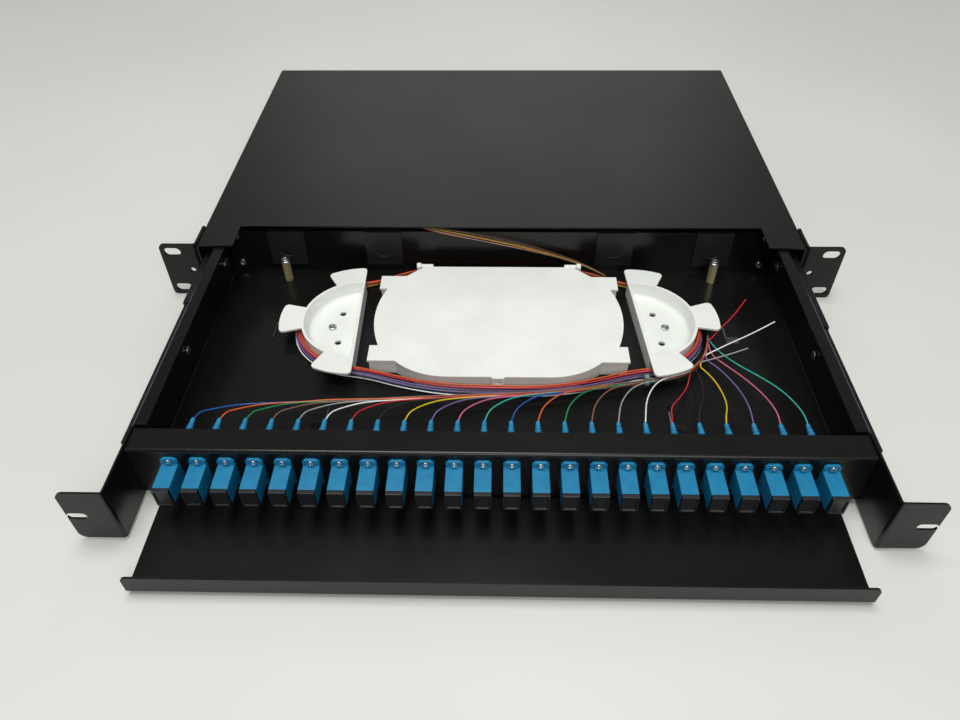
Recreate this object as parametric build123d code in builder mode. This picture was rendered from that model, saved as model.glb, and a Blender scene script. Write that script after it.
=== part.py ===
from build123d import *
import math
import os

# A fibre termination box one rack unit high: a folded sheet-steel case with rack ears, and a drawer
# on telescopic slides that carries a row of adapters, a splice tray, two fibre spools and the pigtails.
# The drawer is drawn out. X = 0 is the middle, Y = 0 the front face of the rack ears, +Y goes back
# into the rack, and Z = 0 is the face that the case rests on.

# Sheet metal
SHEET = 1.2
BEND = 1.5  # bend radius at the middle of the sheet
FIT = 0.1  # gap between pieces that are fastened together
HOLE_FIT = 0.1  # gap between a screw's shank and its hole

# Case
CASE_DEPTH = 290.0
CASE_HEIGHT = 44.0
NOTCH_SIDE = 26.0  # from the side of the case to the notch
NOTCH_DEPTH = 24.0
COVER_REAR_LIP = 8.0
BASE_REAR_LIP = 12.0
BASE_FLANGE = 7.0
CASE_SCREW_Z = 4.2
CASE_SCREW_END = 50.0  # from either end of the case to its first screw

# Rack ears
RACK_WIDTH = 482.6
EAR_REACH = 27.3  # from the side of the case to the end of a rack ear
RACK_SLOT_EDGE = 8.75  # from the end of a rack ear to the middle of its slots
RACK_SLOT_END = 6.125  # from the top or bottom of a rack ear to the middle of a slot
RACK_SLOT_LENGTH = 12.0
RACK_SLOT_WIDTH = 6.8
EAR_SHEET = 2.0
EAR_BEND = 2.2
EAR_LEG = 24.0
EAR_CORNER = 3.5
EAR_SCREW_Y = 15.0
EAR_SCREW_END = 10.0  # from the top or bottom of the case to a screw
LOCK_OUT = 7.6  # from the side of the case to the hole of the lock
LOCK_HOLE = 4.2

# Drawer
EXTENSION = 212.0  # from the face of the rack ears to the face of the drawer's ears
SLIDE_ROOM = 11.5  # from the side of the drawer to the side of the case
DRAWER_DEPTH = 241.4
FLOOR_GAP = 0.8
TOP_GAP = 0.8
FLANGE = 8.4
RELIEF = 1.4
DRAWER_EAR_REACH = 13.0  # from the side of the case to the end of a drawer ear
DRAWER_EAR_CORNER = 5.0
LOCK_SLOT_LENGTH = 11.0
LOCK_SLOT_WIDTH = 5.0
FLOOR_SETBACK = 2.5  # from the face of the adapter panel back to the front edge of the floor
SHELF_SIDE = 12.5  # from the side of the drawer to the end of the shelf
SHELF_REACH = 32.4
SHELF_LIP = 13.7
SHELF_CORNER = 3.0
BACK_TAB = 15.0
BACK_DROP = 4.5
BACK_SCREW_LOW = 6.3  # from the drawer's floor up to the lower screws
BACK_SCREW_HIGH = 4.0  # from the top of the back plate down to the upper screws
LANCE_WIDTH = 8.5
LANCE_LENGTH = 21.0
LANCE_RISE = 3.0
LANCE_RAMP = 3.0
BRIDGE_WIDTH = 5.5
LANCES = ((-160.0, -43.0), (160.0, -43.0), (-110.7, -123.0), (110.7, -123.0))

# Cable entry plates in the drawer's back
ENTRY_SIDE = 44.9  # from the side of the drawer to the middle of the first entry
ENTRY_STEP = 72.0
ENTRY_WIDTH = 24.0
ENTRY_SILL = 5.3  # from the drawer's floor up to the slots of the entries
ENTRY_LAP = 1.6
ENTRY_FLANGE = 1.3
ENTRY_MARK = 14.0
ENTRY_MARK_DEPTH = 0.4

# Telescopic slides
SLIDE_CLEAR = 1.5  # from the base's flange up to the slides
SLIDE_SHEET = 1.2
SLIDE_BEND = 1.0
SLIDE_LENGTH = 196.0
SLIDE_SETBACK = 40.0
SLIDE_RUN = 0.3  # running gap between the members
SLIDE_OUT = (90.0, 110.0)  # how far the left and the right middle member stand out of the case's member
CASE_MEMBER_SCREWS = (30.0, 160.0)
DRAWER_MEMBER_SCREWS = (86.0, 178.0)

# Adapter panel
PANEL_RECESS = 29.5
PANEL_LIP = 16.0
PANEL_DROP = 1.5
PANEL_FOOT = 12.0
PANEL_SIDE = 13.0
PANEL_FIT = 0.2
PANEL_SCREW_LOW = 8.8  # from the drawer's floor up to the lower screws
PANEL_SCREW_HIGH = 9.9  # from the panel's lip down to the upper screws

# Simplex adapters, their dust caps, and the connectors behind them
ADAPTER_COUNT = 24
ADAPTER_MARGIN = 24.25  # from the side of the drawer to the middle of the last adapter
ADAPTER_GAP = 3.3  # from the adapters' flanges up to the panel's lip
ADAPTER_WIDTH = 9.3
ADAPTER_TALL = 12.8
ADAPTER_FRONT = 17.5
ADAPTER_BACK = 11.0
ADAPTER_FLANGE_TALL = 22.0
ADAPTER_FLANGE = 1.8
ADAPTER_CORNER = 1.6
ADAPTER_SCREWS = 18.0
CAVITY_WIDTH = 7.4
CAVITY_TALL = 9.4
CAVITY_DEPTH = 10.0
CAP_COLLAR = 2.5
CAP_PLUG = 7.0
CAP_RECESS = 0.8
CAP_RIM = 1.3
CONNECTOR_IN = 9.0
CONNECTOR_OUT = 13.3
BOOT_LENGTH = 11.5
BOOT_ROOT = 4.6
BOOT_TIP = 2.4

# Splice tray
FAN_ROOM = 46.0  # from the tips of the boots back to the splice tray
REAR_ROOM = 12.5  # from the splice tray back to the drawer's back plate
TRAY_HEIGHT = 12.0
TRAY_WALL = 1.6
TRAY_INSET = 0.9
TRAY_COVER = 1.5
TRAY_SHOULDER = 30.7  # from the tray's side in to the end of its back
TRAY_BLOCK = 18.0
TRAY_STEP_BACK = 0.10088  # the corner blocks' places and depth, as shares of the tray's depth
TRAY_STEP_FRONT = 0.12281
TRAY_BLOCK_SHARE = 0.12719
TRAY_WAIST = 5.7  # from the tray's side in to the ends of its waist
TRAY_SWELL = 52.2  # from the tray's side in to the flat of its front
TRAY_PORT_SIDE = 3.25  # from the sides of a corner block to its port
HINGE_STEP = 3.0  # from the end of the tray's back out to a hinge lug
HINGE_LUG = 3.0
HINGE_BACK = 1.4
HINGE_RISE = 11.2
HINGE_PIN = 1.0
HINGE_RUN = 0.3
HINGE_KNUCKLE = 1.7
HINGE_RING = 2.6
LATCH_WIDTH = 8.0
LATCH_DROP = 7.0
LATCH_BAR = 1.6
LATCH_NUB = 0.6
LID_GAP = 0.3
TRAY_SCREW_IN = 14.5
TRAY_SCREW_BACK = 24.5
SPLICE_COUNT = 12
SPLICE_PITCH = 3.6
SPLICE_LENGTH = 38.0
SPLICE_RIB = 1.1
SPLICE_RISE = 4.5

# Fibre spools
SPOOL_ACROSS = 0.2358  # from the middle of the box to a spool, as a share of the drawer's width
SPOOL_GAP = 10.3  # from a spool to the side of the splice tray
SPOOL_TURN = {-1: 1.6, 1: 4.0}  # how far each spool is turned about its middle, in degrees
SPOOL_SHARE = 0.35088  # radius of the rim, as a share of the splice tray's depth
SPOOL_HEIGHT = 12.0
SPOOL_FLOOR = 2.0
SPOOL_WALL = 1.8
SPOOL_DRAFT = 14.0
SPOOL_TAB = 15.0
SPOOL_TAB_SHEET = 1.6
SPOOL_TABS = ((-90.0, -60.0), (-15.5, 15.5), (60.0, 90.0))
SPOOL_TAB_CORNER = 3.0
SPOOL_SCREW_OUT = 0.5  # the screw's and the holes' places, as shares of the rim's radius
SPOOL_HOLE_OUT = 0.3625
SPOOL_HOLE_SPREAD = 0.75
SPOOL_HOLE = 4.6

# Anchor posts for the cables' strength members
POST_SIDE = 44.8  # from the side of the drawer
POST_BACK = 13.0  # from the drawer's back plate
POST_FLATS = 5.5
POST_HEIGHT = 17.0
POST_WASHER = 7.0
POST_WASHER_SHEET = 0.8

# Screws: head diameter, head height and, where it shows, shank diameter
M3_HEAD, M3_RISE, M3_SHANK = 5.6, 1.6, 3.0
M2_HEAD, M2_RISE = 3.8, 1.0

# Fibres
PIGTAIL = 0.9
LOOP = 4.0
LOOP_GAP = 0.5
LOOP_LIFT = 0.3
TRUNK = 3.2
REAR_BUNDLE = 2.4
TIE_WIDTH = 2.6
TIE_PLACE = 0.8  # share of the run of the bundle that it sits on
TIE_SHEET = 0.9
TIE_HEAD = 3.0
CORD_GAP = 0.25
COLOURS = ("blue", "orange", "green", "brown", "grey", "white",
           "red", "black", "yellow", "violet", "pink", "aqua")

# Places worked out from the sizes above
case_width = RACK_WIDTH - 2 * EAR_REACH
rack_slot_span = RACK_WIDTH - 2 * RACK_SLOT_EDGE
lock_x = case_width / 2 + LOCK_OUT
drawer_width = case_width - 2 * SLIDE_ROOM
drawer_ear_span = case_width + 2 * DRAWER_EAR_REACH
shelf_width = drawer_width - 2 * SHELF_SIDE
adapter_pitch = (drawer_width - 2 * ADAPTER_MARGIN) / (ADAPTER_COUNT - 1)
case_in = case_width / 2 - SHEET
case_mid = case_width / 2 - SHEET / 2
drawer_out = drawer_width / 2
drawer_in = drawer_out - SHEET
wall_mid = drawer_out - SHEET / 2
drawer_bottom = SHEET + FLOOR_GAP
floor_mid = drawer_bottom + SHEET / 2
floor_top = drawer_bottom + SHEET
drawer_top = CASE_HEIGHT - SHEET - TOP_GAP
middle_z = CASE_HEIGHT / 2
slide_height = CASE_HEIGHT - 2 * (BASE_FLANGE + SLIDE_CLEAR)
ear_y = -EXTENSION
panel_y = ear_y + PANEL_RECESS
panel_back = panel_y + SHEET
floor_front = panel_y + FLOOR_SETBACK
lip_back = panel_y + PANEL_LIP
lip_mid = drawer_top - PANEL_DROP - SHEET / 2
flange_front = lip_back + RELIEF
shelf_front = ear_y - SHELF_REACH
back_y = ear_y + DRAWER_DEPTH
back_plate_y = back_y - 2 * SHEET
back_top = drawer_top - BACK_DROP
wall_back = back_y - SHEET / 2 - BEND
panel_screw_y = panel_back + PANEL_SIDE / 2
adapter_z = lip_mid - SHEET / 2 - ADAPTER_GAP - ADAPTER_FLANGE_TALL / 2
adapter_face = panel_y - ADAPTER_FRONT
adapter_tail = panel_back + ADAPTER_BACK
connector_tail = adapter_tail + CONNECTOR_OUT
boot_tip_y = connector_tail + BOOT_LENGTH
entry_depth = back_top - floor_top - ENTRY_SILL
entry_out = drawer_out - ENTRY_SIDE
entry_in = entry_out - ENTRY_STEP
entry_x = (-entry_out, -entry_in, entry_in, entry_out)
tray_front = boot_tip_y + FAN_ROOM
tray_back = back_plate_y - REAR_ROOM
tray_depth = tray_back - tray_front
block_front = tray_front + TRAY_STEP_FRONT * tray_depth
block_back = tray_back - TRAY_STEP_BACK * tray_depth
block_depth = TRAY_BLOCK_SHARE * tray_depth
hinge_y = tray_back + HINGE_BACK
spool_x = SPOOL_ACROSS * drawer_width
spool_y = (tray_front + tray_back) / 2
spool_rim = SPOOL_SHARE * tray_depth
wind = spool_rim + LOOP_GAP + LOOP / 2  # radius of the fibre loop round a spool
tray_half = spool_x - SPOOL_GAP
tray_back_half = tray_half - TRAY_SHOULDER
hinge_x = tray_back_half + HINGE_STEP
tray_screw_x = tray_back_half - TRAY_SCREW_IN
tray_screw_y = tray_back - TRAY_SCREW_BACK
member_front = SLIDE_SETBACK - (EXTENSION - SHEET - SLIDE_RUN)  # the drawer's member, drawn out
tray_top = floor_top + TRAY_HEIGHT
m3_hole = M3_SHANK / 2 + HOLE_FIT


def keep(builder, name):
    """Label a finished piece and write it."""
    builder.part.label = name
    export_step(builder.part, f"parts/{name}.step")


def in_step(place, steps):
    """A place given for the box as first drawn, moved in step with the named places on either side of it."""
    for (low, new_low), (high, new_high) in zip(steps, steps[1:]):
        if place <= high:
            break
    return new_low + (place - low) * (new_high - new_low) / (high - low)


def across(x):
    """A place across the drawer, in step with the spools and the drawer's sides."""
    steps = ((0.0, 0.0), (95.5, spool_x), (142.5, spool_x + wind + 4.5), (201.3, drawer_in))
    return math.copysign(in_step(abs(x), steps), x)


def along(y):
    """A place along the drawer, in step with the boots, the splice tray, the spools and the back plate."""
    steps = ((-145.5, boot_tip_y), (-99.5, tray_front), (-92.5, spool_y - wind - 7.5), (-42.5, spool_y),
             (7.5, spool_y + wind + 7.5), (14.5, tray_back), (27.0, back_plate_y))
    return in_step(y, steps)


def laid(route, heights=((0.0, 0.0), (1.0, 1.0))):
    """A route over the drawer's floor, in step with what it passes."""
    return [(across(x), along(y), in_step(z, heights)) for x, y, z in route]


def front_plane(y):
    """A plane across the box at y that faces the front, with X to the right and Z up."""
    return Plane.front.offset(-y)


def side_plane(side, x):
    """A plane on the left (-1) or right (1) side at a distance x from the middle, facing outwards."""
    return Plane(origin=(side * x, 0, 0), x_dir=(0, side, 0), z_dir=(side, 0, 0))


def seats_on(plane, places):
    """Planes parallel to plane at the given places in it."""
    return [Plane(plane.from_local_coords(Vector(*place, 0)), plane.x_dir, plane.z_dir) for place in places]


def screws(name, seats, head, rise, shank, reach):
    """Screws, one solid for each seat: the head stands on the seat and the shank goes in."""
    with BuildPart() as group:
        with BuildSketch(*seats):
            Circle(head / 2)
        extrude(amount=rise)
        with BuildSketch(*seats):
            Circle(shank / 2)
        extrude(amount=-reach)
    keep(group, name)


os.makedirs("parts", exist_ok=True)

# Case cover: top and both sides folded from one sheet, with a wide notch over the adapters.
case_screw_y = (CASE_SCREW_END, CASE_DEPTH / 2, CASE_DEPTH - CASE_SCREW_END)
case_seats = [(y, CASE_SCREW_Z) for y in case_screw_y]
ear_seats = [(EAR_SCREW_Y, z) for z in (EAR_SCREW_END, CASE_HEIGHT - EAR_SCREW_END)]
slide_seats = [(SLIDE_SETBACK + y, middle_z) for y in CASE_MEMBER_SCREWS]
with BuildPart() as case_cover:
    with BuildSketch(Plane.front):
        with BuildLine():
            FilletPolyline(
                (-case_mid, 0),
                (-case_mid, CASE_HEIGHT - SHEET / 2),
                (case_mid, CASE_HEIGHT - SHEET / 2),
                (case_mid, 0),
                radius=BEND,
            )
        trace(line_width=SHEET)
    extrude(amount=-CASE_DEPTH)
    with BuildSketch(Plane.XY.offset(CASE_HEIGHT)):
        Rectangle(case_width - 2 * NOTCH_SIDE, 2 * NOTCH_DEPTH)
    extrude(amount=-SHEET, mode=Mode.SUBTRACT)
    with Locations((0, CASE_DEPTH - SHEET / 2, CASE_HEIGHT - COVER_REAR_LIP / 2)):
        Box(2 * (case_in - BEND), SHEET, COVER_REAR_LIP)
    with BuildSketch(Plane.YZ):
        with Locations(*case_seats, *ear_seats, *slide_seats):
            Circle(m3_hole)
    extrude(amount=case_width, both=True, mode=Mode.SUBTRACT)
keep(case_cover, "case_cover")

# Case base: the floor of the case, with low flanges inside the cover's sides and a rear lip.
base_mid = case_in - FIT - SHEET / 2
base_back = CASE_DEPTH - SHEET / 2
with BuildPart() as case_base:
    with BuildSketch(Plane.front):
        with BuildLine():
            FilletPolyline(
                (-base_mid, BASE_FLANGE),
                (-base_mid, SHEET / 2),
                (base_mid, SHEET / 2),
                (base_mid, BASE_FLANGE),
                radius=BEND,
            )
        trace(line_width=SHEET)
    extrude(amount=-(base_back - BEND))
    with BuildSketch(Plane.YZ.offset(-(base_mid - BEND))):
        with BuildLine():
            FilletPolyline(
                (base_back - 2 * BEND, SHEET / 2),
                (base_back, SHEET / 2),
                (base_back, BASE_REAR_LIP),
                radius=BEND,
            )
        trace(line_width=SHEET)
    extrude(amount=2 * (base_mid - BEND))
    with BuildSketch(Plane.YZ):
        with Locations(*case_seats):
            Circle(m3_hole)
    extrude(amount=case_width, both=True, mode=Mode.SUBTRACT)
keep(case_base, "case_base")


def rack_ear(side, name):
    """An angle bracket: a slotted ear for the rack and a leg along the side of the case."""
    leg_mid = side * (case_width / 2 + EAR_SHEET / 2)
    with BuildPart() as ear:
        with BuildSketch(Plane.XY):
            with BuildLine():
                FilletPolyline(
                    (leg_mid, EAR_LEG),
                    (leg_mid, EAR_SHEET / 2),
                    (side * RACK_WIDTH / 2, EAR_SHEET / 2),
                    radius=EAR_BEND,
                )
            trace(line_width=EAR_SHEET)
        extrude(amount=CASE_HEIGHT)
        tips = ear.edges().filter_by(Axis.Y).group_by(Axis.X)[-1 if side > 0 else 0]
        fillet(tips, EAR_CORNER)
        with BuildSketch(front_plane(0)):
            with Locations((side * rack_slot_span / 2, middle_z)):
                with GridLocations(1, CASE_HEIGHT - 2 * RACK_SLOT_END, 1, 2):
                    SlotOverall(RACK_SLOT_LENGTH, RACK_SLOT_WIDTH)
            with Locations((side * lock_x, middle_z)):
                Circle(LOCK_HOLE / 2)
        extrude(amount=-EAR_SHEET, mode=Mode.SUBTRACT)
        with BuildSketch(Plane.YZ):
            with Locations(*ear_seats):
                Circle(m3_hole)
        extrude(amount=side * RACK_WIDTH, mode=Mode.SUBTRACT)
    keep(ear, name)


rack_ear(-1, "rack_ear_left")
rack_ear(1, "rack_ear_right")


def both_sides(x, places):
    """Seats at the given (y, z) places on both outer sides, at a distance x from the middle."""
    right = seats_on(side_plane(1, x), places)
    left = seats_on(side_plane(-1, x), [(-y, z) for y, z in places])
    return left + right


screws("ear_screws", both_sides(case_width / 2 + EAR_SHEET, ear_seats),
       M3_HEAD, M3_RISE, M3_SHANK, EAR_SHEET + SHEET)
screws("case_screws", both_sides(case_width / 2, case_seats),
       M3_HEAD, M3_RISE, M3_SHANK, 2 * SHEET + FIT)
screws("slide_case_screws", both_sides(case_width / 2, slide_seats),
       M3_HEAD, M3_RISE, M3_SHANK, SHEET + SLIDE_SHEET)


def slide_member(side, name, web, tip, height, front, holes):
    """One member of a slide: a C-shaped channel. web is the face of its back and tip the end of its
    two lips, both from the middle of the box, and holes are the places of its screws from its front."""
    web_mid = side * (web + math.copysign(SLIDE_SHEET / 2, tip - web))
    lip = (height - SLIDE_SHEET) / 2
    with BuildPart() as member:
        with BuildSketch(front_plane(front)):
            with BuildLine():
                FilletPolyline(
                    (side * tip, middle_z + lip),
                    (web_mid, middle_z + lip),
                    (web_mid, middle_z - lip),
                    (side * tip, middle_z - lip),
                    radius=SLIDE_BEND,
                )
            trace(line_width=SLIDE_SHEET)
        extrude(amount=-SLIDE_LENGTH)
        if holes:
            with BuildSketch(Plane.YZ):
                with Locations(*[(front + y, middle_z) for y in holes]):
                    Circle(m3_hole)
            extrude(amount=side * case_width, mode=Mode.SUBTRACT)
    keep(member, name)


# Slides: the case's member, the middle member and the drawer's member nest with a running gap.
middle_web = case_in - SLIDE_SHEET - SLIDE_RUN
middle_height = slide_height - 2 * (SLIDE_SHEET + SLIDE_RUN)
inner_height = middle_height - 2 * (SLIDE_SHEET + SLIDE_RUN)
lip_end = drawer_out + SLIDE_SHEET + 2 * SLIDE_RUN
for side, hand, out in ((-1, "left", SLIDE_OUT[0]), (1, "right", SLIDE_OUT[1])):
    slide_member(side, f"slide_outer_{hand}", case_in, lip_end, slide_height,
                 SLIDE_SETBACK, CASE_MEMBER_SCREWS)
    slide_member(side, f"slide_middle_{hand}", middle_web, lip_end, middle_height,
                 SLIDE_SETBACK - out, ())
    slide_member(side, f"slide_inner_{hand}", drawer_out, middle_web - SLIDE_SHEET - SLIDE_RUN,
                 inner_height, member_front, DRAWER_MEMBER_SCREWS)

# Drawer tray: floor, sides, ears and front shelf, folded from one sheet.
drawer_slide_seats = [(member_front + y, middle_z) for y in DRAWER_MEMBER_SCREWS]
panel_seats = [(panel_screw_y, z) for z in (floor_top + PANEL_SCREW_LOW, lip_mid - PANEL_SCREW_HIGH)]
back_screw_z = (floor_top + BACK_SCREW_LOW, back_top - BACK_SCREW_HIGH)
tab_holes = [(side * (drawer_out - BACK_TAB / 2), z) for side in (-1, 1) for z in back_screw_z]
tray_plane = Plane.XY.offset(floor_top + TRAY_WALL)
tray_seats = seats_on(tray_plane, [(-tray_screw_x, tray_screw_y), (tray_screw_x, tray_screw_y)])
spool_plane = {}
spool_seats = []
for side in (-1, 1):
    turn = math.radians(SPOOL_TURN[side])
    outwards = (side * math.cos(turn), side * math.sin(turn), 0)
    spool_plane[side] = Plane(origin=(side * spool_x, spool_y, floor_top), x_dir=outwards, z_dir=(0, 0, 1))
    spool_seats += seats_on(spool_plane[side].offset(SPOOL_FLOOR), [(SPOOL_SCREW_OUT * spool_rim, 0)])
flange_mid = drawer_top - SHEET / 2
tab_mid = back_y - SHEET / 2
lances = [(across(x), along(y)) for x, y in LANCES]
with BuildPart() as drawer_tray:
    with BuildSketch(front_plane(flange_front)):
        with BuildLine():
            FilletPolyline(
                (-(drawer_out - FLANGE), flange_mid),
                (-wall_mid, flange_mid),
                (-wall_mid, floor_mid),
                (wall_mid, floor_mid),
                (wall_mid, flange_mid),
                (drawer_out - FLANGE, flange_mid),
                radius=BEND,
            )
        trace(line_width=SHEET)
    extrude(amount=-(wall_back - flange_front))
    # The sides stand plain beside the adapter panel, and the flanges end in a relief cut.
    with BuildSketch(front_plane(floor_front)):
        with BuildLine():
            FilletPolyline(
                (-wall_mid, drawer_top),
                (-wall_mid, floor_mid),
                (wall_mid, floor_mid),
                (wall_mid, drawer_top),
                radius=BEND,
            )
        trace(line_width=SHEET)
    extrude(amount=-(flange_front - floor_front))
    with Locations(*[(side * wall_mid, flange_front - RELIEF / 2, drawer_top) for side in (-1, 1)]):
        Box(2 * SHEET, RELIEF, 2 * (SHEET + BEND), mode=Mode.SUBTRACT)
    for side in (-1, 1):
        # The side runs on as an arm and turns outwards into the ear.
        with BuildSketch(Plane.XY.offset(drawer_bottom)):
            with BuildLine():
                FilletPolyline(
                    (side * wall_mid, floor_front),
                    (side * wall_mid, ear_y + SHEET / 2),
                    (side * drawer_ear_span / 2, ear_y + SHEET / 2),
                    radius=BEND,
                )
            trace(line_width=SHEET)
        extrude(amount=drawer_top - drawer_bottom)
        # At the back it turns inwards into the tab that holds the back plate.
        with BuildSketch(Plane.XY.offset(floor_top)):
            with BuildLine():
                FilletPolyline(
                    (side * wall_mid, wall_back - BEND),
                    (side * wall_mid, tab_mid),
                    (side * (drawer_out - BACK_TAB), tab_mid),
                    radius=BEND,
                )
            trace(line_width=SHEET)
        extrude(amount=back_top - floor_top)
    ear_tips = drawer_tray.edges().filter_by(Axis.Y)
    fillet(ear_tips.group_by(Axis.X)[0] + ear_tips.group_by(Axis.X)[-1], DRAWER_EAR_CORNER)
    with BuildSketch(front_plane(ear_y)):
        with Locations((-lock_x, middle_z), (lock_x, middle_z)):
            SlotOverall(LOCK_SLOT_LENGTH, LOCK_SLOT_WIDTH)
    extrude(amount=-SHEET, mode=Mode.SUBTRACT)
    # The floor runs back under the tabs, and forward as a shelf with an upturned lip.
    with Locations((0, (wall_back + back_y) / 2, floor_mid)):
        Box(2 * (drawer_in - BEND), back_y - wall_back, SHEET)
    with BuildSketch(Plane.YZ.offset(-shelf_width / 2)):
        with BuildLine():
            FilletPolyline(
                (floor_front + BEND, floor_mid),
                (shelf_front + SHEET / 2, floor_mid),
                (shelf_front + SHEET / 2, drawer_bottom + SHELF_LIP),
                radius=BEND,
            )
        trace(line_width=SHEET)
    extrude(amount=shelf_width)
    lip_edges = drawer_tray.edges().filter_by(Axis.Y).filter_by_position(
        Axis.Z, drawer_bottom + SHELF_LIP - FIT, drawer_bottom + SHELF_LIP + FIT)
    fillet(lip_edges, SHELF_CORNER)
    # Bridges lanced up from the floor take cable ties.
    with BuildSketch(Plane.XY.offset(drawer_bottom)):
        with Locations(*lances):
            Rectangle(LANCE_WIDTH, LANCE_LENGTH)
    extrude(amount=SHEET, mode=Mode.SUBTRACT)
    for x, y in lances:
        with BuildSketch(Plane.YZ.offset(x - BRIDGE_WIDTH / 2)):
            with BuildLine():
                Polyline(
                    (y - LANCE_LENGTH / 2 - SHEET, floor_mid),
                    (y - LANCE_LENGTH / 2, floor_mid),
                    (y - LANCE_LENGTH / 2 + LANCE_RAMP, floor_mid + LANCE_RISE),
                    (y + LANCE_LENGTH / 2 - LANCE_RAMP, floor_mid + LANCE_RISE),
                    (y + LANCE_LENGTH / 2, floor_mid),
                    (y + LANCE_LENGTH / 2 + SHEET, floor_mid),
                )
            trace(line_width=SHEET)
        extrude(amount=BRIDGE_WIDTH)
    with BuildSketch(Plane.YZ):
        with Locations(*drawer_slide_seats, *panel_seats):
            Circle(m3_hole)
    extrude(amount=case_width, both=True, mode=Mode.SUBTRACT)
    with BuildSketch(Plane.XY.offset(drawer_bottom)):
        with Locations(*[(seat.origin.X, seat.origin.Y) for seat in spool_seats + tray_seats]):
            Circle(m3_hole)
    extrude(amount=SHEET, mode=Mode.SUBTRACT)
    with BuildSketch(front_plane(back_y)):
        with Locations(*tab_holes):
            Circle(m3_hole)
    extrude(amount=SHEET, mode=Mode.SUBTRACT)
keep(drawer_tray, "drawer_tray")

drawer_slide_heads = both_sides(-drawer_in, drawer_slide_seats)
screws("slide_drawer_screws", drawer_slide_heads, M3_HEAD, M3_RISE, M3_SHANK, SHEET + SLIDE_SHEET)
screws("panel_screws", both_sides(drawer_out, panel_seats),
       M3_HEAD, M3_RISE, M3_SHANK, 2 * SHEET + PANEL_FIT)

# Drawer back: a plate screwed to the tabs, with slots from its top edge for the cable entries.
with BuildPart() as drawer_back:
    with BuildSketch(front_plane(back_plate_y)):
        with Locations((0, (floor_top + back_top) / 2)):
            Rectangle(2 * (drawer_in - BEND), back_top - floor_top)
        with Locations(*[(x, back_top) for x in entry_x]):
            Rectangle(ENTRY_WIDTH, 2 * entry_depth, mode=Mode.SUBTRACT)
        with Locations(*tab_holes):
            Circle(m3_hole, mode=Mode.SUBTRACT)
    extrude(amount=-SHEET)
keep(drawer_back, "drawer_back")
screws("back_screws", seats_on(front_plane(back_plate_y), tab_holes),
       M3_HEAD, M3_RISE, M3_SHANK, 2 * SHEET)

# Cable entry plates: moulded slabs whose grooved edges slide down over the sides of the slots.
entry_low = back_top - entry_depth
entry_face = back_plate_y - FIT
with BuildPart() as cable_entry_plates:
    with BuildSketch(Plane.XY.offset(entry_low)):
        with Locations(*[(x, back_plate_y + SHEET / 2) for x in entry_x]):
            Rectangle(ENTRY_WIDTH - 2 * FIT, SHEET + 2 * FIT)
            with Locations((0, -(SHEET / 2 + FIT + ENTRY_FLANGE / 2)), (0, SHEET / 2 + FIT + ENTRY_FLANGE / 2)):
                Rectangle(ENTRY_WIDTH + 2 * ENTRY_LAP, ENTRY_FLANGE)
    extrude(amount=entry_depth)
    with BuildSketch(front_plane(entry_face - ENTRY_FLANGE)):
        with Locations(*[(x, (entry_low + back_top) / 2) for x in entry_x]):
            Circle(ENTRY_MARK / 2)
    extrude(amount=-ENTRY_MARK_DEPTH, mode=Mode.SUBTRACT)
keep(cable_entry_plates, "cable_entry_plates")

# Adapter panel: a face with a lip along its top, a foot along its bottom and a flange at each end.
panel_half = drawer_in - PANEL_FIT
with BuildPart() as adapter_panel:
    with BuildSketch(Plane.YZ.offset(-panel_half)):
        with BuildLine():
            FilletPolyline(
                (lip_back, lip_mid),
                (panel_y + SHEET / 2, lip_mid),
                (panel_y + SHEET / 2, floor_top + SHEET / 2),
                (panel_back + PANEL_FOOT, floor_top + SHEET / 2),
                radius=BEND,
            )
        trace(line_width=SHEET)
    extrude(amount=2 * panel_half)
    with Locations(*[(side * panel_half, panel_back, floor_top) for side in (-1, 1)]):
        Box(2 * BEND, 4 * PANEL_FOOT, 2 * BEND, mode=Mode.SUBTRACT)
    flange_low = floor_top + SHEET + BEND
    flange_high = lip_mid - SHEET / 2 - BEND
    with Locations(*[(side * (panel_half - SHEET / 2), panel_screw_y, (flange_low + flange_high) / 2)
                     for side in (-1, 1)]):
        Box(SHEET, PANEL_SIDE, flange_high - flange_low)
    with BuildSketch(front_plane(panel_y)):
        with Locations((0, adapter_z)):
            with GridLocations(adapter_pitch, 1, ADAPTER_COUNT, 1):
                Rectangle(ADAPTER_WIDTH + 2 * FIT, ADAPTER_TALL + 2 * FIT)
    extrude(amount=-SHEET, mode=Mode.SUBTRACT)
    with BuildSketch(Plane.YZ):
        with Locations(*panel_seats):
            Circle(m3_hole)
    extrude(amount=case_width, both=True, mode=Mode.SUBTRACT)
keep(adapter_panel, "adapter_panel")


def adapter_row(plane, width, tall):
    """A rectangle at every adapter, drawn in plane."""
    with BuildSketch(plane) as row:
        with Locations((0, adapter_z)):
            with GridLocations(adapter_pitch, 1, ADAPTER_COUNT, 1):
                Rectangle(width, tall)
    return row.sketch


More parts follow.
